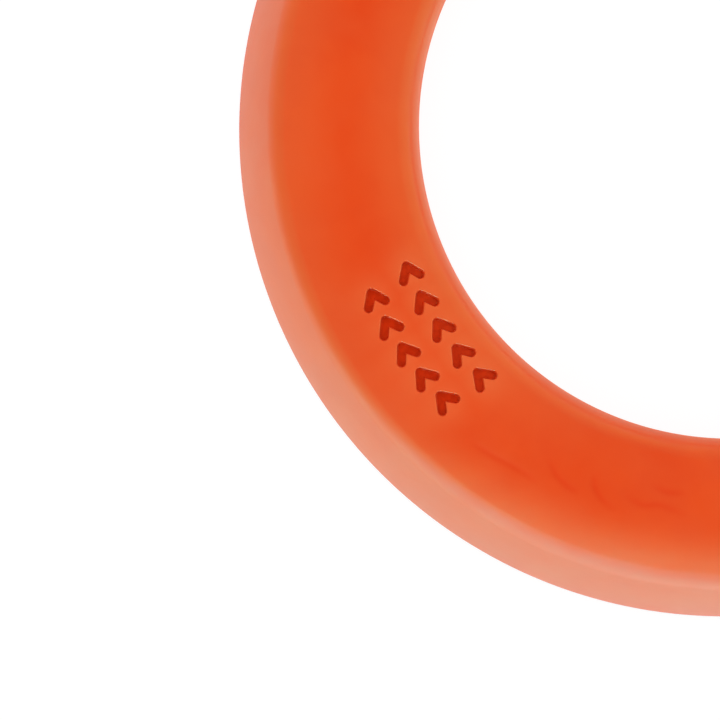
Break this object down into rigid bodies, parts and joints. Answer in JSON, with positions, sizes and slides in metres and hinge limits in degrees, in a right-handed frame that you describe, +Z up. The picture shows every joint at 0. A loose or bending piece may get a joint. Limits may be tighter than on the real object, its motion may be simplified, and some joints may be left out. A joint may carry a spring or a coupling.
{
  "type": "flying ring",
  "caption": "Soft flying ring with a flat underside, a crowned top and a sloping outer flank: a hollow silicone skin snapped over a foam core and a stiff hoop.",
  "frame": {"origin": "on the ring's axis, in the plane of the flat underside that it rests on", "axes": "+Z up along the ring's axis, from the flat underside to the crowned top; the recessed chevrons are 215 degrees round from +X, anticlockwise seen from above"},
  "size_m": [0.18, 0.18, 0.0162],
  "materials": {
    "silicone_skin": "satin",
    "silicone_cord": "satin",
    "nylon_hoop": "matte",
    "core_foam": "matte"
  },
  "bodies": {
    "root": {"top_shell": "silicone_skin", "base_shell": "silicone_skin", "spine_hoop": "nylon_hoop", "foam_core": "core_foam", "outer_seam_seal": "silicone_cord", "inner_seam_seal": "silicone_cord"}
  },
  "joints": []
}
